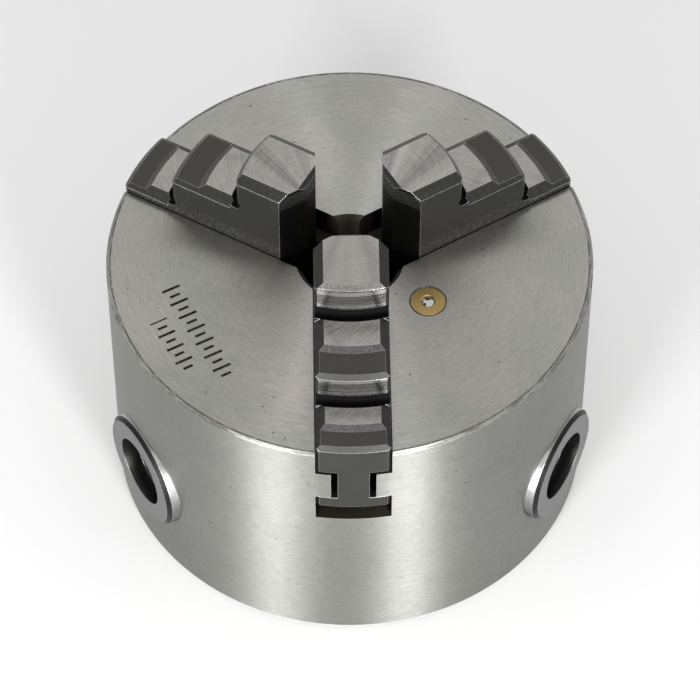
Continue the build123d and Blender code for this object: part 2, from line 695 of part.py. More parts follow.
TOOTH_FROM = JAW_TIP_R + TIP_RUN + TOOTH_T / 2
TOOTH_TO = STEP_R[2] - TOOTH_T / 2 - TOOTH_MARGIN
jaws = []
for index, azimuth in enumerate(JAW_AZ):
    first = TOOTH_FIRST_R + PITCH * index / JAW_COUNT
    while first - PITCH > TOOTH_FROM:
        first -= PITCH
    count = 1 + int((TOOTH_TO - first) / PITCH)
    with BuildPart() as jaw:
        add(jaw_form.part)
        for tooth in range(count):
            with BuildSketch(Plane.XY.offset(TOOTH_BOTTOM_Z)):
                add(tooth_plan(first + PITCH * tooth))
                make_face()
                Rectangle(3 * BODY_R, JAW_W, mode=Mode.INTERSECT)
            extrude(amount=FLANGE_LOW_Z - TOOTH_BOTTOM_Z)
    placed = Location((0, 0, 0), (0, 0, azimuth)) * jaw.part
    placed.label = f"jaw_{index + 1}"
    jaws.append(placed)

# ================================================================ write the pieces
body.part.label = "body"
back_cover.part.label = "back_cover"
scroll_plate.part.label = "scroll_plate"
oiler_shell.label = "oiler_body"
oiler_sphere.label = "oiler_ball"
oiler_coil.label = "oiler_spring"
pieces = [body.part, back_cover.part, scroll_plate.part, oiler_shell, oiler_sphere, oiler_coil]
pieces += jaws + pinions + pinion_screws + cover_screws
for piece in pieces:
    export_step(piece, f"parts/{piece.label}.step")
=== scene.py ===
"""Studio scene of a small self-centring scroll chuck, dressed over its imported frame."""

from __future__ import annotations

import logging
import math
from dataclasses import dataclass, field
from enum import Enum
from typing import Any, Mapping, Sequence
import bpy
import numpy as np
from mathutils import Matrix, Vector


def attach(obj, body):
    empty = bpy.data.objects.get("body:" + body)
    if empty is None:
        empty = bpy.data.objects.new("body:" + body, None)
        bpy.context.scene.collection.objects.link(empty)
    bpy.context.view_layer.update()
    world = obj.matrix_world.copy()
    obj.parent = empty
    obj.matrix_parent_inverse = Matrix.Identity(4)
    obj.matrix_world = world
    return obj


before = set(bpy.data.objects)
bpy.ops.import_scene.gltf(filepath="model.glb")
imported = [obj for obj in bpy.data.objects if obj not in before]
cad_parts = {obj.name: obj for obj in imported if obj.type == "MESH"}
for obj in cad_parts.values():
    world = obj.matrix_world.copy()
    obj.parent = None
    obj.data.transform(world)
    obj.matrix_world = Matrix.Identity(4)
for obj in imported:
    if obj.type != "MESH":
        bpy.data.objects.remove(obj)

LOG = logging.getLogger("chuck")
MM = 0.001
MICROMETRE = 1e-6
GRAIN_TURN = 0.25  # part of a turn from the spindle circles to the spread of a turned glint
JAW_AZIMUTHS = (-90.0, 30.0, 150.0)
PINION_AZIMUTHS = (-30.0, 90.0, 210.0)
Colour = tuple[float, float, float]


# --------------------------------------------------------------------------- shader maths
class Num:
    """A number socket that ordinary arithmetic can be written on."""

    def __init__(self, graph: "Graph", socket: Any) -> None:
        """Keep the graph and the socket.

        Args:
            graph: The graph that new Math nodes go into.
            socket: The output socket that holds the number.
        """
        self.graph = graph
        self.socket = socket

    def _math(self, operation: str, *values: Any, clamp: bool = False) -> "Num":
        """Add one Math node.

        Args:
            operation: The node's operation.
            values: Its inputs, each a number or a Num.
            clamp: Whether the result is held between 0 and 1.

        Returns:
            The node's result.
        """
        node = self.graph.node(
            "ShaderNodeMath", {"operation": operation, "use_clamp": clamp}, dict(enumerate(values))
        )
        return Num(self.graph, node.outputs[0])

    def __add__(self, other: Any) -> "Num":
        """Sum."""
        return self._math("ADD", self, other)

    def __radd__(self, other: Any) -> "Num":
        """Reflected sum."""
        return self._math("ADD", other, self)

    def __sub__(self, other: Any) -> "Num":
        """Difference."""
        return self._math("SUBTRACT", self, other)

    def __rsub__(self, other: Any) -> "Num":
        """Reflected difference."""
        return self._math("SUBTRACT", other, self)

    def __mul__(self, other: Any) -> "Num":
        """Product."""
        return self._math("MULTIPLY", self, other)

    def __rmul__(self, other: Any) -> "Num":
        """Reflected product."""
        return self._math("MULTIPLY", other, self)

    def __truediv__(self, other: Any) -> "Num":
        """Quotient."""
        return self._math("DIVIDE", self, other)

    def __neg__(self) -> "Num":
        """Negative."""
        return self._math("MULTIPLY", self, -1.0)

    def abs(self) -> "Num":
        """Size without sign."""
        return self._math("ABSOLUTE", self)

    def sqrt(self) -> "Num":
        """Square root."""
        return self._math("SQRT", self)

    def sine(self) -> "Num":
        """Sine of the number in radians."""
        return self._math("SINE", self)

    def fract(self) -> "Num":
        """Part after the point."""
        return self._math("FRACT", self)

    def bearing(self, other: Any) -> "Num":
        """Angle in radians of the point whose first number is other and second is this."""
        return self._math("ARCTAN2", self, other)

    def clamp(self) -> "Num":
        """The number held between 0 and 1."""
        return self._math("ADD", self, 0.0, clamp=True)

    def maximum(self, other: Any) -> "Num":
        """The larger of two."""
        return self._math("MAXIMUM", self, other)

    def rise(self, low: float, high: float) -> "Num":
        """Smooth step from 0 at low to 1 at high; low above high gives a fall."""
        node = self.graph.node(
            "ShaderNodeMapRange",
            {"interpolation_type": "SMOOTHSTEP"},
            {"Value": self, "From Min": low, "From Max": high, "To Min": 0.0, "To Max": 1.0},
        )
        return Num(self.graph, node.outputs["Result"])

    def band(self, low: float, high: float, soft: float) -> "Num":
        """1 between low and high, with soft edges inside them."""
        return self.rise(low, low + soft) * self.rise(high, high - soft)


class Graph:
    """The node tree of one material, with short ways to add to it."""

    def __init__(self, name: str) -> None:
        """Make an empty material.

        Args:
            name: The material's name.
        """
        self.material = bpy.data.materials.new(name)
        self.material.use_nodes = True
        self.tree = self.material.node_tree
        self.tree.nodes.clear()

    def node(self, kind: str, settings: Mapping[str, Any], inputs: Mapping[Any, Any]) -> Any:
        """Add a node, set it, then fill its sockets.

        Args:
            kind: The node's type.
            settings: Attribute values, set before the sockets.
            inputs: Socket name or number to a value, a Num or an output socket.

        Returns:
            The node.
        """
        node = self.tree.nodes.new(kind)
        for name, value in settings.items():
            setattr(node, name, value)
        for key, value in inputs.items():
            socket = node.inputs[key]
            if isinstance(value, Num):
                self.tree.links.new(value.socket, socket)
            elif isinstance(value, bpy.types.NodeSocket):
                self.tree.links.new(value, socket)
            elif isinstance(value, tuple) and len(value) == 3 and socket.type == "RGBA":
                socket.default_value = (*value, 1.0)
            else:
                socket.default_value = value
        return node

    def millimetres(self) -> tuple[Num, Num, Num, Any]:
        """Object coordinates in millimetres.

        Returns:
            x, y and z, and the vector they come from.
        """
        place = self.node("ShaderNodeTexCoord", {}, {}).outputs["Object"]
        scaled = self.node(
            "ShaderNodeVectorMath", {"operation": "SCALE"}, {0: place, "Scale": 1000.0}
        ).outputs[0]
        parts = self.node("ShaderNodeSeparateXYZ", {}, {0: scaled})
        return tuple(Num(self, parts.outputs[i]) for i in range(3)) + (scaled,)

    def normal(self) -> tuple[Num, Num, Num, Any]:
        """True surface normal in the object's own directions.

        Returns:
            Its three parts and the vector.
        """
        world = self.node("ShaderNodeNewGeometry", {}, {}).outputs["True Normal"]
        turned = self.node(
            "ShaderNodeVectorTransform",
            {"vector_type": "NORMAL", "convert_from": "WORLD", "convert_to": "OBJECT"},
            {0: world},
        ).outputs[0]
        parts = self.node("ShaderNodeSeparateXYZ", {}, {0: turned})
        return tuple(Num(self, parts.outputs[i]) for i in range(3)) + (turned,)

    def vector(self, x: Any, y: Any, z: Any) -> Any:
        """Join three numbers into a vector socket."""
        return self.node("ShaderNodeCombineXYZ", {}, {0: x, 1: y, 2: z}).outputs[0]

    def noise(self, place: Any, scale: float, detail: float = 2.0, rough: float = 0.5) -> Num:
        """Fractal noise, about 0.5 on average.

        Args:
            place: The vector socket it is read at.
            scale: Features to a unit.
            detail: Octaves.
            rough: How strong the fine octaves are.

        Returns:
            The noise value.
        """
        node = self.node(
            "ShaderNodeTexNoise",
            {"noise_dimensions": "3D"},
            {"Vector": place, "Scale": scale, "Detail": detail, "Roughness": rough},
        )
        return Num(self, node.outputs[0])

    def dots(self, place: Any, scale: float, size: float, share: float) -> Num:
        """Round dots scattered over cells.

        Args:
            place: The vector socket it is read at.
            scale: Cells to a unit.
            size: Radius of a dot as a share of its cell.
            share: Share of the cells that hold a dot.

        Returns:
            1 in a dot and 0 outside.
        """
        cell = self.node("ShaderNodeTexVoronoi", {"feature": "F1"}, {"Vector": place, "Scale": scale})
        near = Num(self, cell.outputs["Distance"]).rise(size, size * 0.5)
        shade = self.node("ShaderNodeSeparateColor", {}, {0: cell.outputs["Color"]})
        return near * Num(self, shade.outputs[0]).rise(share + 0.02, share)

    def blend(self, factor: Any, low: Any, high: Any) -> Any:
        """Mix two colours.

        Args:
            factor: 0 for the first, 1 for the second.
            low: First colour.
            high: Second colour.

        Returns:
            The mixed colour socket.
        """
        node = self.node(
            "ShaderNodeMix", {"data_type": "RGBA", "blend_type": "MIX"}, {0: factor, 6: low, 7: high}
        )
        return node.outputs[2]

    def tint(self, colour: Any, value: Any) -> Any:
        """Multiply a colour by a number."""
        scaled = self.node(
            "ShaderNodeVectorMath", {"operation": "SCALE"}, {0: colour, "Scale": value}
        )
        return scaled.outputs[0]

    def edge(self, radius: float) -> tuple[Any, Num]:
        """Rounded normal at sharp edges, and how far it turns.

        Args:
            radius: Radius of the rounding in millimetres.

        Returns:
            The rounded normal and a mask that is 1 on the edges.
        """
        bevel = self.node("ShaderNodeBevel", {"samples": 6}, {"Radius": radius * MM}).outputs[0]
        flat = self.node("ShaderNodeNewGeometry", {}, {}).outputs["Normal"]
        dot = self.node("ShaderNodeVectorMath", {"operation": "DOT_PRODUCT"}, {0: bevel, 1: flat})
        return bevel, Num(self, dot.outputs["Value"]).rise(0.995, 0.86)

    def finish(
        self,
        colour: Any,
        rough: Any,
        metal: Any = 1.0,
        height: Num | None = None,
        normal: Any = None,
        grain: float = 0.0,
    ) -> bpy.types.Material:
        """Close the material with one surface shader.

        Args:
            colour: Base colour.
            rough: Roughness.
            metal: Metallic.
            height: Surface height in micrometres, or None.
            normal: Rounded normal, or None.
            grain: Anisotropy along the turned lines.

        Returns:
            The material.
        """
        sockets: dict[str, Any] = {"Base Color": colour, "Roughness": rough, "Metallic": metal}
        if grain:
            sockets["Anisotropic"] = grain
            sockets["Anisotropic Rotation"] = GRAIN_TURN
        if height is not None:
            bump_in: dict[str, Any] = {"Strength": 1.0, "Distance": MICROMETRE, "Height": height}
            if normal is not None:
                bump_in["Normal"] = normal
            sockets["Normal"] = self.node("ShaderNodeBump", {}, bump_in).outputs[0]
        elif normal is not None:
            sockets["Normal"] = normal
        shader = self.node("ShaderNodeBsdfPrincipled", {}, sockets)
        self.node("ShaderNodeOutputMaterial", {}, {"Surface": shader.outputs[0]})
        return self.material


# --------------------------------------------------------------------------- finishes
@dataclass(frozen=True)
class EtchedRow:
    """One row of plain etched strokes on the front face."""

    start: tuple[float, float]
    end: tuple[float, float]
    pitch: float
    stroke: float
    height: float

    def mask(self, g: Graph, x: Num, y: Num) -> Num:
        """1 on the strokes: along the row the place within each pitch is near its middle, and
        across the row it lies within the height, which is shorter on every second stroke.

        Args:
            g: The graph.
            x: Place in millimetres.
            y: Place in millimetres.

        Returns:
            The mask.
        """
        dx, dy = self.end[0] - self.start[0], self.end[1] - self.start[1]
        length = math.hypot(dx, dy)
        ux, uy = dx / length, dy / length
        along = (x - self.start[0]) * ux + (y - self.start[1]) * uy
        across = (y - self.start[1]) * ux - (x - self.start[0]) * uy
        stroke = ((along / self.pitch).fract() - 0.5).abs()
        half = self.stroke / self.pitch / 2
        line = stroke.rise(half + 0.05, half - 0.03)
        longer = (((along / (2 * self.pitch)).fract() - 0.5).rise(-0.01, 0.01)) * (self.height * 0.22)
        reach = longer + self.height * 0.28
        inside = (reach - across.abs()).rise(-0.06, 0.06)
        return line * inside * along.band(0.0, length, 0.05)


@dataclass(frozen=True)
class GroundIron:
    """Close-grained iron, turned and ground round the spindle axis."""

    name: str = "body_iron"
    bright: Colour = (0.364, 0.368, 0.342)
    warm: Colour = (0.392, 0.370, 0.348)
    # colours of the hollows: painted shade with some oil
    inner: Colour = (0.030, 0.028, 0.025)
    oil_and_shade: Colour = (0.062, 0.050, 0.040)
    etch: Colour = (0.030, 0.022, 0.018)
    # painted shade: dark jagged line just inside the outer edge of the front face
    painted_edge_shade: Colour = (0.05, 0.048, 0.042)
    rim: Colour = (0.11, 0.105, 0.1)
    pit: Colour = (0.07, 0.065, 0.06)
    seat: Colour = (0.016, 0.014, 0.012)
    # edges brightened partly by wear and partly as painted glints
    wear_and_glint: Colour = (0.66, 0.65, 0.62)
    grain: float = 0.90
    rough: float = 0.40
    rows: tuple[EtchedRow, ...] = ()
    face_z: float = 50.0
    outside_r: float = 40.0
    oiler_at: tuple[float, float] = (12.60, -9.29)
    oiler_r: float = 2.9

    def build(self) -> bpy.types.Material:
        """Make the material.

        Returns:
            Ground metal whose streaks follow circles round Z.
        """
        g = Graph(self.name)
        x, y, z, place = g.millimetres()
        nz = g.normal()[2]
        r = (x * x + y * y).sqrt()
        cx, cy = x / r.maximum(0.5), y / r.maximum(0.5)
        face = nz.rise(0.9, 0.98) * z.rise(self.face_z - 0.5, self.face_z - 0.2)
        side = nz.abs().rise(0.3, 0.1) * r.rise(self.outside_r - 0.5, self.outside_r - 0.2)
        rim = nz.band(0.5, 0.9, 0.1) * r.rise(self.outside_r - 0.7, self.outside_r - 0.5)
        rear = z.rise(0.5, 0.1)
        shown = face.maximum(side).maximum(rim).maximum(rear)
        fine_face = g.noise(g.vector(r * 3.4, cx * 14.0, cy * 14.0), 1.0, 3.0, 0.65)
        fine_side = g.noise(g.vector(z * 4.4, cx * 24.0, cy * 24.0), 1.0, 3.0, 0.65)
        fine = fine_side * side + fine_face * (1.0 - side)
        rings = g.noise(g.vector(r * 1.6, z * 1.6, 0.0), 1.0, 3.0, 0.7)
        cloud = g.noise(place, 0.045, 4.0, 0.6)
        mottle = g.noise(place, 1.7, 3.0, 0.7)
        grain = g.noise(place, 4.2, 2.0, 0.6)
        feed = (r * 12.6 + (cloud + fine) * 5.0).sine() * face
        pits = g.dots(place, 0.55, 0.15, 0.10) + g.dots(place, 1.5, 0.17, 0.06)
        tone = 0.86 + (fine - 0.5) * 0.50 + (rings - 0.5) * 0.12 + (cloud - 0.5) * 0.22
        tone = tone + (mottle - 0.5) * 0.16 + feed * 0.02 + (grain - 0.5) * 0.40
        # painted shade: the outside wall is painted darker than the front face, and the front face darker
        # towards its front edge (negative y)
        painted_shade_gain = 1.48 - side * 0.62 - y.rise(-12.0, -36.0) * face * 0.14
        bright = g.tint(g.blend(cloud.rise(0.40, 0.58) * face, self.bright, self.warm), tone * painted_shade_gain)
        # the slot walls, bore and other hollows are partly oiled iron and partly painted shade, near black
        hollows_oil_and_shade = g.tint(g.blend(cloud, self.inner, self.oil_and_shade), 0.8 + mottle * 0.4)
        colour = g.blend(shown, hollows_oil_and_shade, bright)
        # painted shade: a dark jagged line on the front face just inside its outer edge
        painted_edge_shade = r.band(self.outside_r - 0.85, self.outside_r - 0.4, 0.1) * face
        painted_edge_shade = painted_edge_shade * (fine * 1.3 + mottle).rise(0.85, 1.25)
        colour = g.blend(painted_edge_shade * 0.75, colour, self.painted_edge_shade)
        colour = g.blend(rim * fine.rise(0.6, 0.4) * 0.55, colour, self.rim)
        colour = g.blend(pits.clamp() * 0.6 * shown, colour, self.pit)
        ox, oy = x - self.oiler_at[0], y - self.oiler_at[1]
        seat = (ox * ox + oy * oy).sqrt().rise(self.oiler_r + 0.22, self.oiler_r + 0.14) * face
        colour = g.blend(seat * 0.85, colour, self.seat)
        marks: Num | None = None
        for row in self.rows:
            mask = row.mask(g, x, y)
            marks = mask if marks is None else marks.maximum(mask)
        rough = self.rough + side * 0.06 + (fine - 0.5) * 0.16 + (grain - 0.5) * 0.10
        rough = rough + (1.0 - shown) * 0.12 + rim * 0.12
        height = fine * 6.5 + rings * 1.4 + feed * 0.3 + grain * 4.2 - pits * 7.0
        if marks is not None:
            etched = marks * face * (mottle * 0.9 + 0.5).clamp()
            colour = g.blend(etched, colour, self.etch)
            rough = rough + etched * 0.3
            height = height - etched * 9.0
        # painted glint, partly wear: sharp edges are painted bright
        rounded, wear_and_glint = g.edge(0.16)
        colour = g.blend(wear_and_glint * mottle.rise(0.35, 0.6) * 0.7 * shown, colour, self.wear_and_glint)
        return g.finish(colour, rough.clamp(), height=height, normal=rounded, grain=self.grain)


@dataclass(frozen=True)
class JawStep:
    """Sizes of one step of a jaw, as its finish needs them."""

    top: float
    land_to: float
    outer: float
    arc: float
    centre: tuple[float, float]


JAW_STEPS = (
    JawStep(66.0, 17.9, 18.7, 20.0, (7.6, 0.6)),
    JawStep(59.1, 24.9, 30.8, 28.0, (10.0, -9.5)),
    JawStep(52.4, 35.4, 40.0, 34.0, (20.5, -10.5)),
)


@dataclass(frozen=True)
class HardJaw:
    """Hardened jaw steel: dark as heat treated, ground bright on the lands and step faces."""

    azimuth: float
    name: str = "jaw_steel"
    fan_u: float = 3.0
    fan_v: float = 0.0
    calm: float = 0.0
    glare: float = 0.9
    dark: Colour = (0.088, 0.089, 0.084)
    flat: Colour = (0.083, 0.081, 0.072)
    shadow: Colour = (0.011, 0.011, 0.012)
    land: Colour = (0.375, 0.370, 0.350)
    land_warm: Colour = (0.385, 0.37, 0.345)
    glint: Colour = (0.80, 0.80, 0.78)
    milled: tuple[Colour, Colour] = ((0.050, 0.049, 0.047), (0.25, 0.247, 0.243))
    bevelled: tuple[Colour, Colour] = ((0.040, 0.040, 0.037), (0.21, 0.21, 0.20))
    freckle: Colour = (0.27, 0.27, 0.26)
    end_face: Colour = (0.060, 0.060, 0.052)
    step_face: Colour = (0.55, 0.55, 0.54)
    tip_face: Colour = (0.035, 0.035, 0.034)
    hatched: Colour = (0.44, 0.44, 0.43)
    rubbed: Colour = (0.42, 0.41, 0.39)
    relief: float = 0.35
    relief_r: float = 1.0
    hatch_up: float = 11.0
    hatch_across: float = 9.4

    def build(self) -> bpy.types.Material:
        """Make the material for the jaw at this azimuth.

        Each surface is told apart by its normal and its place: u runs out along the jaw, v across
        it, and reach is the distance of a point from the centre its step face is turned about.

        Returns:
            Dark steel with ground lands.
        """
        g = Graph(self.name)
        x, y, z, _ = g.millimetres()
        nx, ny, nz, _ = g.normal()
        a = math.radians(self.azimuth)
        u = x * math.cos(a) + y * math.sin(a)
        v = y * math.cos(a) - x * math.sin(a)
        nu = nx * math.cos(a) + ny * math.sin(a)
        across = (ny * math.cos(a) - nx * math.sin(a)).abs()
        local = g.vector(u, v, z)
        speck = g.noise(local, 3.4, 3.0, 0.75)
        cloud = g.noise(local, 0.16, 3.0, 0.6)
        grit = g.noise(local, 9.0, 2.0, 0.6)
        up = nz.rise(0.97, 0.995)
        lands, slopes, brims, faces, grooves = (Num(g, self.zero(g)) for _ in range(5))
        swirl, sweep, painted_foot_highlight, top, fan = (Num(g, self.zero(g)) for _ in range(5))
        for number, step in enumerate(JAW_STEPS):
            centre = step.outer - step.arc
            reach = ((u - centre) * (u - centre) + v * v).sqrt() + centre
            level = (z - step.top).abs().rise(0.12, 0.06)
            here = (z - step.top).rise(-1.6, -1.5) * (z - step.top).rise(0.3, 0.2)
            lands = lands.maximum(level * up)
            slopes = slopes.maximum(here * (reach - step.land_to).band(-0.05, 1.05, 0.04))
            brims = brims.maximum(here * (reach - step.outer).rise(-0.78, -0.72))
            du, dv = u - step.centre[0], v - step.centre[1]
            swirl = swirl + level * (du * du + dv * dv).sqrt()
            if number == 0:
                fan = (v - self.fan_v).bearing(u - self.fan_u)
            sweep = sweep + level * (dv.bearing(du) + 1.7 * number)
            top = level if number == 0 else top
            if number == len(JAW_STEPS) - 1:
                continue
            below = JAW_STEPS[number + 1].top
            faces = faces.maximum((reach - step.outer).abs().rise(0.08, 0.04) * (z - below).rise(1.0, 1.2))
            # painted highlight: bright bands near the foot of each step face
            painted_foot_highlight = painted_foot_highlight.maximum((z - below).band(1.1, 2.4, 0.3)).maximum(
                (step.outer - step.top + z - reach).band(-2.3, -1.0, 0.3)
            )
            off_r, off_z = reach - step.outer - self.relief, z - below - self.relief
            ring = (off_r * off_r + off_z * off_z).sqrt()
            grooves = grooves.maximum(ring.rise(self.relief_r + 0.1, self.relief_r + 0.05))
        slopes = slopes * (1.0 - up) * nu.rise(0.3, 0.45)
        brims = brims * nu.band(0.35, 0.93, 0.1) * nz.rise(0.3, 0.5)
        faces = faces * nu.rise(0.7, 0.85)
        bevels = across.rise(0.45, 0.55) * nz.rise(0.55, 0.7)
        streak = g.noise(g.vector(swirl * 4.2, v * 0.10, u * 0.10), 1.0, 3.0, 0.65)
        cross = g.noise(g.vector(swirl * 5.5, v * 0.3, u * 0.3), 1.0, 2.0)
        # painted highlight: wedges of glare fanning round each land, stronger on the top land
        painted_glare_wedge = g.noise(g.vector(sweep * 1.9, swirl * 0.06, 4.2), 1.0, 3.0, 0.6)
        rays = g.noise(g.vector(fan * 30.0, u * 0.06, v * 0.06), 1.0, 3.0, 0.6)
        painted_broad_glare = g.noise(g.vector(fan * 3.2, 1.3, 0.0), 1.0, 2.0, 0.5)
        ground = (streak * 0.6 + cross * 0.4) * (1.0 - top) + (rays * 0.5 + cross * 0.5) * top
        painted_glare_wedge = painted_glare_wedge * (1.0 - top) + painted_broad_glare * top
        lit = 1.06 + (ground - 0.5) * (1.35 - top * self.calm) + (painted_glare_wedge - 0.5) * (1.0 + top * self.glare)
        lit = lit + (speck - 0.5) * 0.3
        bright = g.tint(g.blend(cloud, self.land, self.land_warm), lit)
        lines = g.noise(g.vector(z * 4.6, v * 0.08, cloud * 1.2), 1.0, 3.0, 0.7)
        pebble = g.noise(local, 8.5, 2.0, 0.7)
        milled = g.blend(pebble.rise(0.40, 0.66), *self.milled)
        dark = g.blend(speck.rise(0.62, 0.74) * 0.3, self.dark, self.freckle)
        dark = g.tint(dark, 0.66 + cloud * 0.36)
        colour = g.blend(up, dark, g.tint(self.flat, 0.78 + grit * 0.24 + cloud * 0.2))
        hide = g.blend(pebble.rise(0.52, 0.66) * 0.4, *self.bevelled)
        end = nu.rise(0.9, 0.97) * (1.0 - faces)
        colour = g.blend(end * 0.8, colour, g.tint(self.end_face, 0.8 + grit * 0.24 + cloud * 0.2))
        colour = g.blend(bevels, colour, hide)
        colour = g.blend(slopes.maximum(brims * 0.05), colour, milled)
        # the step faces carry the painted highlight bands
        face_tone = 0.30 + lines.rise(0.38, 0.62) * 0.42 + painted_foot_highlight * 0.72 + (pebble - 0.5) * 1.1
        colour = g.blend(faces, colour, g.tint(self.step_face, face_tone))
        colour = g.blend(lands, colour, bright)
        tip = (-nu).rise(0.3, 0.42) * (1.0 - up)
        colour = g.blend(tip, colour, g.tint(self.tip_face, 0.7 + speck * 0.6))
        weave = g.noise(local, 0.9, 2.0) * 3.0
        hatch = (z * self.hatch_up + v * self.hatch_across + weave).sine().rise(0.2, 0.9).maximum(
            (z * self.hatch_up - v * self.hatch_across + weave).sine().rise(0.5, 1.0) * 0.7
        )
        high = z.band(62.0, 65.6, 0.7) * tip * (0.4 + speck * 0.9).clamp()
        colour = g.blend((high * 0.8 + tip * 0.07) * hatch, colour, self.hatched)
        low = z.band(49.6, 53.6, 1.4) * speck.rise(0.54, 0.64) * across.rise(0.8, 0.9)
        colour = g.blend(low * 0.45, colour, self.rubbed)
        colour = g.blend(grooves, colour, self.shadow)
        rounded, wear_and_glint = g.edge(0.16)
        glint = wear_and_glint * (0.50 + cloud * 0.6) * (1.0 - bevels * lands) * (1.0 - grooves * 0.6)
        colour = g.blend(glint.clamp(), colour, self.glint)
        rough = 0.42 + (speck - 0.5) * 0.30 + up * 0.10 - lands * 0.22 - faces * 0.18 - wear_and_glint * 0.12
        rough = rough + lands * (ground - 0.5) * 0.35 + grooves * 0.3
        height = speck * 4.0 * (1.0 - lands) * (1.0 - faces) + grit * 1.6 + lands * ground * 8.0
        height = height + faces * lines * 8.0 + slopes * speck * 14.0 + high * hatch * 6.0
        return g.finish(colour, rough.clamp(), height=height, normal=rounded)

    @staticmethod
    def zero(g: Graph) -> Any:
        """A socket that holds zero."""
        return g.node("ShaderNodeValue", {}, {}).outputs[0]


@dataclass(frozen=True)
class TurnedPinion:
    """Turned steel of a key pinion, its marks running round the pinion's own axis."""

    azimuth: float
    name: str = "pinion_steel"
    axis_z: float = 18.5
    face_at: float = 41.0
    colour: Colour = (0.150, 0.149, 0.153)
    # colour of the painted highlight on the side of the head
    band: Colour = (0.50, 0.50, 0.49)
    # painted shade colour of the head's chamfer
    bevel: Colour = (0.022, 0.022, 0.023)
    # painted light and shade of the socket walls
    socket_lit_side: Colour = (0.16, 0.16, 0.165)
    socket_shaded_side: Colour = (0.030, 0.030, 0.022)
    # edges brightened partly by wear and partly as painted glints
    wear_and_glint: Colour = (0.66, 0.66, 0.64)
    well_r: float = 6.1
    well_depth: float = 12.5
    bevel_wide: float = 0.7

    def build(self) -> bpy.types.Material:
        """Make the material for the pinion at this azimuth.

        Returns:
            Satin steel with painted shade in its socket and on its chamfer, and a painted highlight on the
            side of its head.
        """
        g = Graph(self.name)
        x, y, z, place = g.millimetres()
        a = math.radians(self.azimuth)
        u = x * math.cos(a) + y * math.sin(a)
        v = y * math.cos(a) - x * math.sin(a)
        w = z - self.axis_z
        r = (v * v + w * w).sqrt()
        cv, cw = v / r.maximum(0.3), w / r.maximum(0.3)
        fine = g.noise(g.vector(r * 4.0, cv * 5.0, cw * 5.0), 1.0, 3.0, 0.65)
        lines = g.noise(g.vector(u * 4.5, cv * 6.0, cw * 6.0), 1.0, 3.0, 0.65)
        speck = g.noise(place, 2.6, 3.0, 0.7)
        cloud = g.noise(place, 0.2, 3.0, 0.6)
        front = u.rise(self.face_at - 0.06, self.face_at - 0.02)
        well = r.rise(self.well_r + 0.08, self.well_r - 0.04)
        well = well * u.rise(self.face_at - self.well_depth - 1.5, self.face_at - self.well_depth)
        shaded_bevel_ring = u.band(self.face_at - self.bevel_wide, self.face_at - 0.03, 0.03) * r.rise(9.2, 9.35)
        marks = fine * front + lines * (1.0 - front)
        tone = 0.74 + marks * 0.42 + (cloud - 0.5) * 0.3 + (speck - 0.5) * 0.2
        # painted highlight: the side of the head is painted bright, brighter towards its top
        girth = u.rise(self.face_at - 0.66, self.face_at - 0.72) * r.rise(9.7, 9.9)
        colour = g.tint(g.blend(girth * w.rise(-5.0, 7.0), self.colour, self.band), tone)
        # painted shade: the chamfer of the head is painted near black
        colour = g.blend(shaded_bevel_ring, colour, g.tint(self.bevel, 0.6 + speck * 1.2))
        # painted light and shade in the socket: walls facing up are painted dark, the others lighter grey
        socket_shading = well * u.rise(self.face_at - 0.1, self.face_at - 1.6)
        facing_up = g.normal()[2].rise(-0.2, 0.6)
        colour = g.blend(socket_shading, colour, g.blend(facing_up, self.socket_lit_side, self.socket_shaded_side))
        # painted glint, partly wear: sharp edges are painted bright
        rounded, wear_and_glint = g.edge(0.2)
        colour = g.blend(wear_and_glint * (1.0 - well * 0.7) * speck.rise(0.3, 0.6) * 0.7, colour, self.wear_and_glint)
        rough = 0.34 + (marks - 0.5) * 0.22 + (speck - 0.5) * 0.12 + shaded_bevel_ring * 0.1
        height = marks * 4.0 + speck * 3.0
        return g.finish(colour, rough.clamp(), height=height, normal=rounded)


class Lay(Enum):
    """Which way the marks of a plain finish run."""

    ROUND = "round the spindle axis"
    NONE = "no direction"


@dataclass(frozen=True)
class PlainMetal:
    """A metal with one colour, fine marks and edges brightened partly by wear and partly as painted
    glints, for the smaller and hidden parts.
    """

    name: str
    colour: Colour
    edge_wear_and_glint: Colour
    rough: float
    lay: Lay = Lay.NONE
    centre: tuple[float, float] = (0.0, 0.0)
    fine: float = 4.0
    strength: float = 0.3
    stain: Colour = (0.05, 0.045, 0.04)
    stain_share: float = 0.2
    round_edge: float = 0.15

    def build(self) -> bpy.types.Material:
        """Make the material.

        Returns:
            The metal with its marks.
        """
        g = Graph(self.name)
        x, y, z, place = g.millimetres()
        dx, dy = x - self.centre[0], y - self.centre[1]
        r = (dx * dx + dy * dy).sqrt()
        speck = g.noise(place, self.fine, 3.0, 0.7)
        cloud = g.noise(place, 0.25, 4.0, 0.65)
        if self.lay is Lay.ROUND:
            safe = r.maximum(0.2)
            marks = g.noise(
                g.vector(r * self.fine + z * self.fine, dx / safe * 9.0, dy / safe * 9.0), 1.0, 3.0, 0.65
            )
        else:
            marks = speck
        tone = 1.0 + (marks - 0.5) * self.strength * 2.0 + (cloud - 0.5) * self.strength
        colour = g.tint(self.colour, tone)
        colour = g.blend(cloud.rise(0.5, 0.75) * self.stain_share, colour, self.stain)
        # painted glint, partly wear: sharp edges are painted bright
        rounded, wear_and_glint = g.edge(self.round_edge)
        colour = g.blend(wear_and_glint * 0.8, colour, self.edge_wear_and_glint)
        rough = self.rough + (marks - 0.5) * 0.2 + (cloud - 0.5) * 0.12
        return g.finish(colour, rough.clamp(), height=marks * 4.0 + speck * 1.5, normal=rounded)


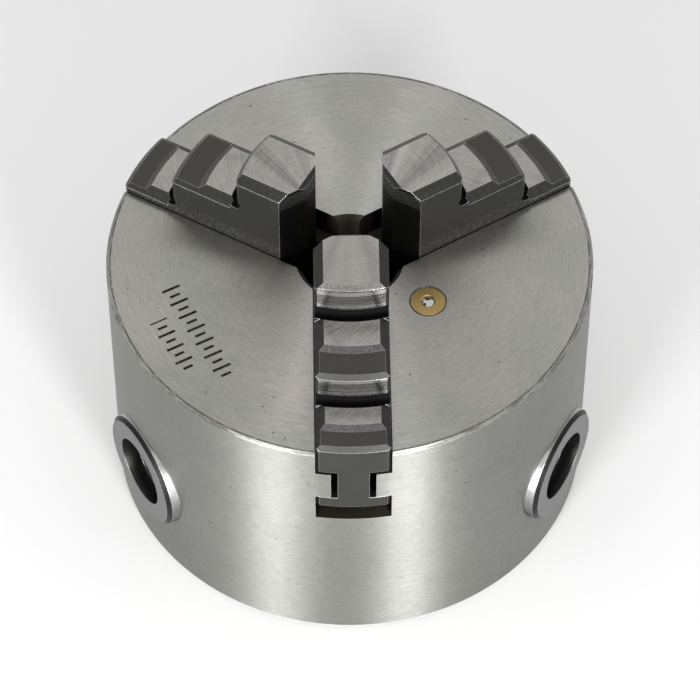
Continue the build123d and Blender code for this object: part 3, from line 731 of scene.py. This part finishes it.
# --------------------------------------------------------------------------- meshes
def closed_grid(points: np.ndarray, name: str) -> bpy.types.Object:
    """Mesh of a grid that closes on itself both ways.

    The vertex of row i and column j is joined to those of row i + 1 and column j + 1, both counted
    round, so the surface is a closed ring like a torus.

    Args:
        points: Array of rows, columns and three coordinates in metres.
        name: The object's name.

    Returns:
        The new object.
    """
    rows, columns = points.shape[:2]
    i = np.arange(rows)[:, None]
    j = np.arange(columns)[None, :]
    after_i, after_j = (i + 1) % rows, (j + 1) % columns
    quads = np.stack(
        [
            i * columns + j,
            i * columns + after_j,
            after_i * columns + after_j,
            after_i * columns + j,
        ],
        axis=-1,
    ).reshape(-1, 4)
    mesh = bpy.data.meshes.new(name)
    mesh.vertices.add(rows * columns)
    mesh.vertices.foreach_set("co", points.reshape(-1).astype(np.float32))
    mesh.loops.add(quads.size)
    mesh.loops.foreach_set("vertex_index", quads.reshape(-1).astype(np.int32))
    mesh.polygons.add(len(quads))
    mesh.polygons.foreach_set("loop_start", (np.arange(len(quads)) * 4).astype(np.int32))
    mesh.update(calc_edges=True)
    mesh.validate()
    made = bpy.data.objects.new(name, mesh)
    bpy.context.scene.collection.objects.link(made)
    return made


def smooth(piece: bpy.types.Object) -> None:
    """Shade every face of a piece smooth."""
    count = len(piece.data.polygons)
    piece.data.polygons.foreach_set("use_smooth", np.ones(count, dtype=bool))


@dataclass
class ThreadLining:
    """Cut thread inside a fixing hole in the rear face."""

    azimuth: float
    index: int
    circle_r: float = 33.0
    outer_r: float = 2.99
    crest_r: float = 2.5
    root_r: float = 2.95
    pitch: float = 1.0
    low: float = 0.25
    high: float = 11.7
    around: int = 48
    steps_in_pitch: int = 10
    run_out: float = 0.6

    def points(self) -> np.ndarray:
        """Closed profile turned round the hole.

        Up the hole the radius is a triangle wave of height less turn, crest to root and back in one
        pitch, fading to the root at both ends; it then comes back down the outer wall.

        Returns:
            Array of around rows, profile columns and three coordinates in metres.
        """
        steps = int((self.high - self.low) / self.pitch * self.steps_in_pitch)
        z = np.linspace(self.low, self.high, steps)
        turn = np.linspace(0.0, 2 * np.pi, self.around, endpoint=False)
        zz, tt = np.meshgrid(z, turn)
        phase = (zz / self.pitch - tt / (2 * np.pi)) % 1.0
        wave = 1.0 - np.abs(2.0 * phase - 1.0)
        fade = np.clip(np.minimum(zz - self.low, self.high - zz) / self.run_out, 0.0, 1.0)
        inner = self.root_r - (self.root_r - self.crest_r) * wave * fade
        outer = np.full((self.around, steps), self.outer_r)
        radius = np.concatenate([inner, outer], axis=1)
        height = np.concatenate([zz, np.tile(z[::-1], (self.around, 1))], axis=1)
        angle = np.tile(turn[:, None], (1, 2 * steps))
        a = math.radians(self.azimuth)
        return np.stack(
            [
                self.circle_r * math.cos(a) + radius * np.cos(angle),
                self.circle_r * math.sin(a) + radius * np.sin(angle),
                height,
            ],
            axis=-1,
        ) * MM

    def build(self, material: bpy.types.Material) -> bpy.types.Object:
        """Make the lining and fix it to the housing.

        Args:
            material: Its finish.

        Returns:
            The piece.
        """
        piece = closed_grid(self.points(), f"fixing_thread_{self.index}")
        smooth(piece)
        piece.data.materials.append(material)
        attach(piece, "housing")
        return piece


# --------------------------------------------------------------------------- sub-assemblies
def dress(node: str, material: bpy.types.Material) -> None:
    """Give one frame node its finish.

    Args:
        node: The node's name.
        material: The finish.
    """
    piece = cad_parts[node]
    piece.data.materials.clear()
    piece.data.materials.append(material)
    LOG.info("dressed %s", node)


@dataclass
class Housing:
    """Body, rear cover, their screws and the fixing threads."""

    rows: tuple[EtchedRow, ...] = (
        EtchedRow((-26.0, -22.6), (-31.3, -12.6), 1.5, 0.45, 3.0),
        EtchedRow((-19.9, -24.1), (-29.6, -5.6), 1.5, 0.45, 3.2),
    )
    cover: Colour = (0.20, 0.198, 0.185)

    def build(self) -> None:
        """Dress the nodes and line the fixing holes."""
        iron = GroundIron(rows=self.rows).build()
        dress("body", iron)
        cover = PlainMetal("cover_iron", self.cover, (0.5, 0.5, 0.48), 0.36, Lay.ROUND).build()
        dress("back_cover", cover)
        oxide = PlainMetal(
            "screw_steel", (0.035, 0.035, 0.037), (0.22, 0.22, 0.22), 0.38, fine=5.0, stain_share=0.0
        ).build()
        for number in (1, 2, 3):
            dress(f"cover_screw_{number}", oxide)
            dress(f"pinion_screw_{number}", oxide)
        thread = PlainMetal("thread_iron", (0.22, 0.215, 0.2), (0.4, 0.4, 0.38), 0.4).build()
        for index, azimuth in enumerate(JAW_AZIMUTHS, start=1):
            ThreadLining(azimuth, index).build(thread)
            LOG.info("thread %d cut", index)


@dataclass
class Jaws:
    """The stepped jaws; each entry of marks is the side the grinding fan starts from, how calm its rays
    are and how strong its painted glare is."""

    marks: tuple[tuple[float, float, float], ...] = ((0.0, 0.6, 0.0), (-4.5, 0.0, 0.9), (4.5, 0.0, 0.9))

    def build(self) -> None:
        """Dress each jaw with marks laid out along its own slot."""
        for index, (azimuth, mark) in enumerate(zip(JAW_AZIMUTHS, self.marks), start=1):
            fan_v, calm, glare = mark
            steel = HardJaw(azimuth, name=f"jaw_steel_{index}", fan_v=fan_v, calm=calm, glare=glare)
            dress(f"jaw_{index}", steel.build())


@dataclass
class Drive:
    """Key pinions and the scroll they turn."""

    def build(self) -> None:
        """Dress the pinions and the scroll."""
        for index, azimuth in enumerate(PINION_AZIMUTHS, start=1):
            dress(f"pinion_{index}", TurnedPinion(azimuth, name=f"pinion_steel_{index}").build())
        scroll = PlainMetal("scroll_steel", (0.26, 0.26, 0.25), (0.6, 0.6, 0.58), 0.3, Lay.ROUND).build()
        dress("scroll_plate", scroll)


@dataclass
class Oiler:
    """Ball oiler in the front face."""

    azimuth: float = -36.4
    radius: float = 15.65

    def build(self) -> None:
        """Dress the brass shell, the ball and the spring."""
        a = math.radians(self.azimuth)
        centre = (self.radius * math.cos(a), self.radius * math.sin(a))
        brass = PlainMetal(
            "oiler_brass",
            (0.60, 0.42, 0.17),
            (0.80, 0.62, 0.32),
            0.34,
            Lay.ROUND,
            centre,
            fine=5.0,
            strength=0.28,
            stain=(0.2, 0.12, 0.04),
            stain_share=0.3,
            round_edge=0.08,
        ).build()
        dress("oiler_body", brass)
        ball = PlainMetal(
            "bearing_steel", (0.62, 0.62, 0.61), (0.7, 0.7, 0.7), 0.1, strength=0.06, stain_share=0.1
        ).build()
        dress("oiler_ball", ball)
        wire = PlainMetal("spring_steel", (0.4, 0.4, 0.4), (0.6, 0.6, 0.6), 0.3).build()
        dress("oiler_spring", wire)


# --------------------------------------------------------------------------- studio
@dataclass
class Softbox:
    """One rectangular studio light."""

    name: str
    place: tuple[float, float, float]
    aim: tuple[float, float, float]
    wide: float
    high: float
    watts: float
    tint: Colour = (1.0, 1.0, 1.0)

    def build(self) -> None:
        """Hang the light and turn it to its aim."""
        lamp = bpy.data.lights.new(self.name, "AREA")
        lamp.shape = "RECTANGLE"
        lamp.size = self.wide
        lamp.size_y = self.high
        lamp.energy = self.watts
        lamp.color = self.tint
        holder = bpy.data.objects.new(self.name, lamp)
        holder.location = self.place
        direction = Vector(self.aim) - Vector(self.place)
        holder.rotation_euler = direction.to_track_quat("-Z", "Y").to_euler()
        holder.visible_camera = False
        bpy.context.scene.collection.objects.link(holder)


@dataclass
class Studio:
    """Pale floor, soft lights, sky fill and the camera."""

    floor_half: float = 3.0
    floor_cells: int = 8
    floor_gap: float = 0.00002
    floor_colour: Colour = (0.86, 0.86, 0.86)
    sky: float = 0.78
    elevation: float = 53.70
    turn: float = -90.90
    distance: float = 0.6749
    target: tuple[float, float, float] = (0.0, 0.0, 0.025)
    lens: float = 205.09
    shift: tuple[float, float] = (0.00033, -0.00423)
    sensor: float = 36.0
    seen: tuple[float, float] = (0.01, 20.0)
    lights: Sequence[Softbox] = field(
        default_factory=lambda: (
            Softbox("strip_left", (-0.388, -0.70, 0.20), (0.0, 0.0, 0.03), 0.21, 0.38, 6.2),
            Softbox("strip_right", (0.287, -0.747, 0.20), (0.0, 0.0, 0.03), 0.16, 0.38, 6.2),
        )
    )

    def floor(self) -> None:
        """Lay a plain pale floor.

        A square grid of points at one height, a hair under the object's rear face.
        """
        count = self.floor_cells + 1
        side = np.linspace(-self.floor_half, self.floor_half, count)
        xx, yy = np.meshgrid(side, side)
        points = np.stack([xx, yy, np.full_like(xx, -self.floor_gap)], axis=-1).reshape(-1, 3)
        cells = np.arange(self.floor_cells)
        i, j = np.meshgrid(cells, cells, indexing="ij")
        first = (i * count + j).reshape(-1)
        quads = np.stack([first, first + 1, first + count + 1, first + count], axis=-1)
        mesh = bpy.data.meshes.new("floor")
        mesh.from_pydata(points.tolist(), [], quads.tolist())
        ground = bpy.data.objects.new("floor", mesh)
        bpy.context.scene.collection.objects.link(ground)
        g = Graph("floor_white")
        _, _, _, place = g.millimetres()
        soft = g.noise(place, 0.002, 2.0)
        colour = g.tint(self.floor_colour, 0.99 + soft * 0.02)
        mesh.materials.append(g.finish(colour, 0.8, metal=0.0))

    def world(self) -> None:
        """Fill from all round with even grey light."""
        sky = bpy.data.worlds.new("studio")
        sky.use_nodes = True
        back = sky.node_tree.nodes["Background"]
        back.inputs["Color"].default_value = (1.0, 1.0, 1.0, 1.0)
        back.inputs["Strength"].default_value = self.sky
        bpy.context.scene.world = sky

    def camera(self) -> None:
        """Stand the camera where it looks down on the front face."""
        lens = bpy.data.cameras.new("camera")
        lens.lens = self.lens
        lens.sensor_width = self.sensor
        lens.sensor_fit = "HORIZONTAL"
        lens.shift_x, lens.shift_y = self.shift
        lens.clip_start, lens.clip_end = self.seen
        holder = bpy.data.objects.new("camera", lens)
        e, a = math.radians(self.elevation), math.radians(self.turn)
        away = Vector((math.cos(e) * math.cos(a), math.cos(e) * math.sin(a), math.sin(e)))
        holder.location = Vector(self.target) + away * self.distance
        holder.rotation_euler = (-away).to_track_quat("-Z", "Y").to_euler()
        bpy.context.scene.collection.objects.link(holder)
        bpy.context.scene.camera = holder

    def build(self) -> None:
        """Set up everything round the object."""
        self.floor()
        self.world()
        for light in self.lights:
            light.build()
        self.camera()
        bpy.context.scene.view_settings.view_transform = "Standard"
        bpy.context.scene.view_settings.look = "None"


def main() -> None:
    """Build and dress the chuck, then the studio."""
    logging.basicConfig(level=logging.INFO, format="%(name)s: %(message)s")
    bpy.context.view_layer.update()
    for part in (Housing(), Jaws(), Drive(), Oiler()):
        part.build()
        LOG.info("%s done", type(part).__name__)
    Studio().build()
    LOG.info("sizes written")


if __name__ == "__main__":
    main()
